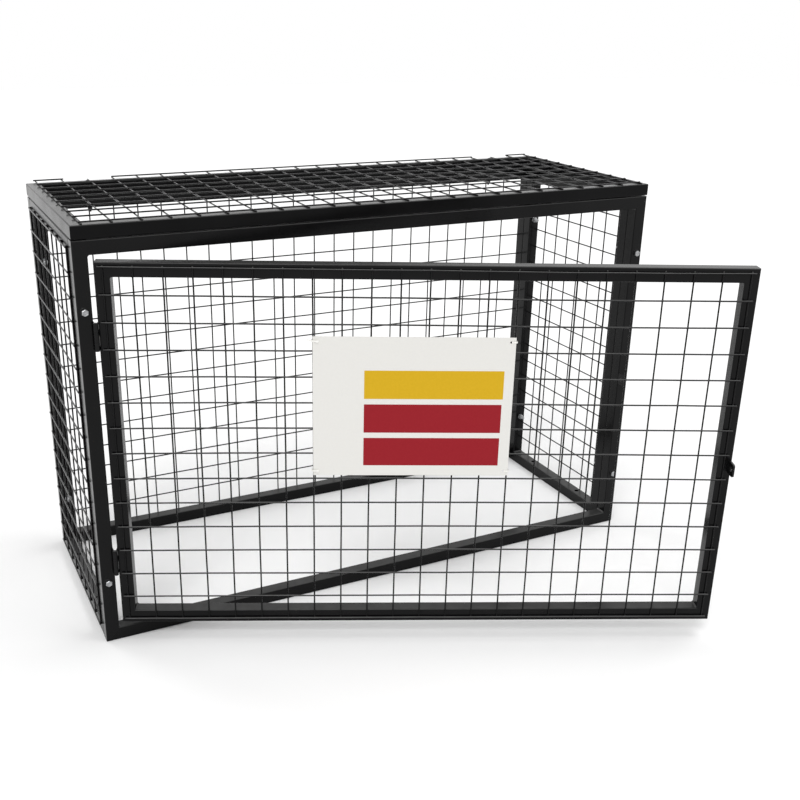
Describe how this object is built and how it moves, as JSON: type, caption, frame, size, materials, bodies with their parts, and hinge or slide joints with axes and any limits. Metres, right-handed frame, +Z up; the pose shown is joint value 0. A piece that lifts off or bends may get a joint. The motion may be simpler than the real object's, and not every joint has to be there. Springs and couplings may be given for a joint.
{
  "type": "gas cylinder cage",
  "caption": "Welded steel mesh cage for storing gas cylinders: bolted tube frames, mesh walls and lid, and one hinged mesh door standing ajar with a blank sign.",
  "frame": {"origin": "on the floor in the middle of the cage's footprint, which is the middle of its four floor fixing holes", "axes": "+X to the right along the front, +Y to the back, +Z up"},
  "size_m": [1.412, 1.0925, 0.939],
  "materials": {
    "black_coat": "satin black powder coat over welded steel",
    "hinge_steel": "coated hinge pin, worn",
    "sign_white": "rigid plastic sign, satin",
    "sign_yellow": "yellow print on the sign",
    "sign_red": "red print on the sign",
    "tie_nylon": "natural nylon cable ties",
    "zinc": "zinc-plated bolts, nuts and washers"
  },
  "bodies": {
    "cage": {"front_bottom_rail": "black_coat", "front_right_stile": "black_coat", "front_top_rail": "black_coat", "front_left_stile": "black_coat", "back_bottom_rail": "black_coat", "back_right_stile": "black_coat", "back_top_rail": "black_coat", "back_left_stile": "black_coat", "left_bottom_rail": "black_coat", "left_front_stile": "black_coat", "left_top_rail": "black_coat", "left_rear_stile": "black_coat", "right_bottom_rail": "black_coat", "right_front_stile": "black_coat", "right_top_rail": "black_coat", "right_rear_stile": "black_coat", "lid_front_rail": "black_coat", "lid_right_rail": "black_coat", "lid_rear_rail": "black_coat", "lid_left_rail": "black_coat", "back_mesh": "black_coat", "left_mesh": "black_coat", "right_mesh": "black_coat", "lid_mesh": "black_coat", "lower_hinge_frame_leaf": "black_coat", "lower_hinge_pin": "hinge_steel", "upper_hinge_frame_leaf": "black_coat", "upper_hinge_pin": "hinge_steel", "frame_lock_catch": "black_coat"},
    "door": {"door_bottom_rail": "black_coat", "door_right_stile": "black_coat", "door_top_rail": "black_coat", "door_left_stile": "black_coat", "door_mesh": "black_coat", "lower_hinge_door_leaf": "black_coat", "upper_hinge_door_leaf": "black_coat", "door_lock_lug": "black_coat", "sign_plate": "sign_white"}
  },
  "joints": [
    {"name": "door_hinge", "type": "hinge", "parent": "cage", "child": "door", "pos_m": [-0.668, -0.2638, 0.45], "axis": [0, 0, -1], "range_deg": [-24.4, 130.6]}
  ]
}
